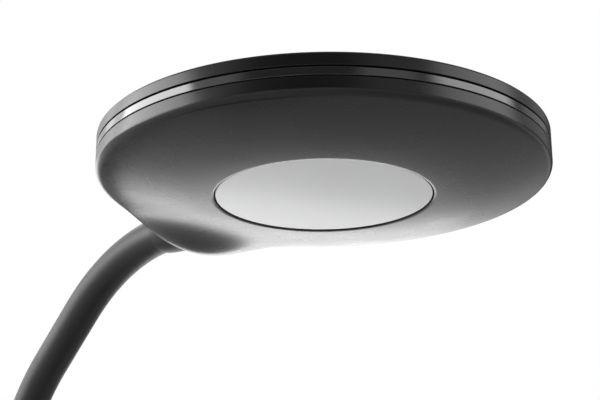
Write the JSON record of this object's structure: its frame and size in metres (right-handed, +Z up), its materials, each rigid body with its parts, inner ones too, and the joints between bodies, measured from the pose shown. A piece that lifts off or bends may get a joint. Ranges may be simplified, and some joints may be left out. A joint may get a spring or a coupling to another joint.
{
  "type": "piano lamp",
  "caption": "Round flat lamp head with an opal lens in its underside, on a sleeved gooseneck that stands on a weighted round base with a push button.",
  "frame": {"origin": "centre of the base's underside, on the surface that the lamp stands on", "axes": "+Z up, -Y forward, the way the head reaches; the neck bends in the plane x = 0; +X to the right seen from in front of the base, looking along +Y"},
  "size_m": [0.17, 0.3462, 0.3787],
  "materials": {
    "satin_black_plastic": "fine satin, moulded",
    "clear_dark_plastic": "polished, smoke clear",
    "opal_plastic": "opal, diffusing",
    "black_foam": "closed-cell foam",
    "white_plastic": "matt white",
    "white_board": "white solder mask",
    "phosphor": "yellow phosphor",
    "bare_aluminium": "brushed",
    "zinc_steel": "zinc plated",
    "nylon": "glass-filled nylon",
    "wound_steel": "oiled steel",
    "silicone": "matt silicone rubber",
    "lead_jacket": "smooth jacket",
    "black_metal": "satin black",
    "grey_steel": "phosphated steel",
    "pad_rubber": "ribbed rubber",
    "green_board": "green solder mask",
    "part_black": "moulded"
  },
  "bodies": {
    "base": {"base_ferrule": "black_metal", "lower_end_fitting": "zinc_steel", "lower_washer": "zinc_steel", "lower_lock_nut": "zinc_steel", "base_cover": "satin_black_plastic", "base_weight": "grey_steel", "base_plate": "grey_steel", "base_pad": "pad_rubber", "base_screws": "zinc_steel", "dimmer_board": "green_board", "switch_body": "part_black", "board_parts": "part_black", "dc_inlet": "part_black", "base_leads": "lead_jacket", "neck_sleeve_1": "silicone", "neck_core_1": "wound_steel", "neck_lead_1": "lead_jacket"},
    "neck_2": {"neck_sleeve_2": "silicone", "neck_core_2": "wound_steel", "neck_lead_2": "lead_jacket"},
    "neck_3": {"neck_sleeve_3": "silicone", "neck_core_3": "wound_steel", "neck_lead_3": "lead_jacket"},
    "neck_4": {"neck_sleeve_4": "silicone", "neck_core_4": "wound_steel", "neck_lead_4": "lead_jacket"},
    "neck_5": {"neck_sleeve_5": "silicone", "neck_core_5": "wound_steel", "neck_lead_5": "lead_jacket"},
    "neck_6": {"neck_sleeve_6": "silicone", "neck_core_6": "wound_steel", "neck_lead_6": "lead_jacket"},
    "neck_7": {"neck_sleeve_7": "silicone", "neck_core_7": "wound_steel", "neck_lead_7": "lead_jacket"},
    "neck_8": {"neck_sleeve_8": "silicone", "neck_core_8": "wound_steel", "neck_lead_8": "lead_jacket"},
    "button": {"button_cap": "satin_black_plastic", "return_dome": "silicone"},
    "head": {"head_top_cover": "satin_black_plastic", "head_ring": "clear_dark_plastic", "head_bottom_shell": "satin_black_plastic", "lens_diffuser": "opal_plastic", "lens_gasket": "black_foam", "reflector_ring": "white_plastic", "led_board": "white_board", "heat_spreader": "bare_aluminium", "led_chips": "phosphor", "spreader_screws": "zinc_steel", "shell_screws": "zinc_steel", "bracket_screws": "zinc_steel", "neck_bracket": "nylon", "upper_end_fitting": "zinc_steel", "upper_lock_nut": "zinc_steel", "neck_collar": "satin_black_plastic", "neck_sleeve_9": "silicone", "neck_core_9": "wound_steel", "neck_lead_9": "lead_jacket", "head_lead": "lead_jacket"}
  },
  "joints": [
    {"name": "neck_bend_1", "type": "hinge", "parent": "base", "child": "neck_2", "pos_m": [0, 0.045, 0.06263], "axis": [1, 0, 0], "range_deg": [-20, 12]},
    {"name": "neck_sway_2", "type": "hinge", "parent": "neck_2", "child": "neck_3", "pos_m": [0, 0.045, 0.11191], "axis": [0, -1, 0], "range_deg": [-20, 20]},
    {"name": "neck_bend_3", "type": "hinge", "parent": "neck_3", "child": "neck_4", "pos_m": [0, 0.045, 0.16118], "axis": [1, 0, 0], "range_deg": [-20, 12]},
    {"name": "neck_sway_4", "type": "hinge", "parent": "neck_4", "child": "neck_5", "pos_m": [0, 0.045, 0.21044], "axis": [0, -1, 0], "range_deg": [-20, 20]},
    {"name": "neck_bend_5", "type": "hinge", "parent": "neck_5", "child": "neck_6", "pos_m": [0, 0.04492, 0.25971], "axis": [1, 0, 0], "range_deg": [-25, 12]},
    {"name": "neck_sway_6", "type": "hinge", "parent": "neck_6", "child": "neck_7", "pos_m": [0, 0.02985, 0.30598], "axis": [0, -0.8316, -0.5553], "range_deg": [-20, 20]},
    {"name": "neck_bend_7", "type": "hinge", "parent": "neck_7", "child": "neck_8", "pos_m": [0, -0.00552, 0.33994], "axis": [1, 0, 0], "range_deg": [-25, 12]},
    {"name": "neck_sway_8", "type": "hinge", "parent": "neck_8", "child": "head", "pos_m": [0, -0.04792, 0.36417], "axis": [0, -0.2712, -0.9625], "range_deg": [-20, 20]},
    {"name": "button_press", "type": "slide", "parent": "base", "child": "button", "axis": [0, 0, -1], "range_m": [0, 0.0012], "stiffness_N_per_m": 1600, "springref_m": -0.0003, "deforming": ["return_dome"]}
  ]
}
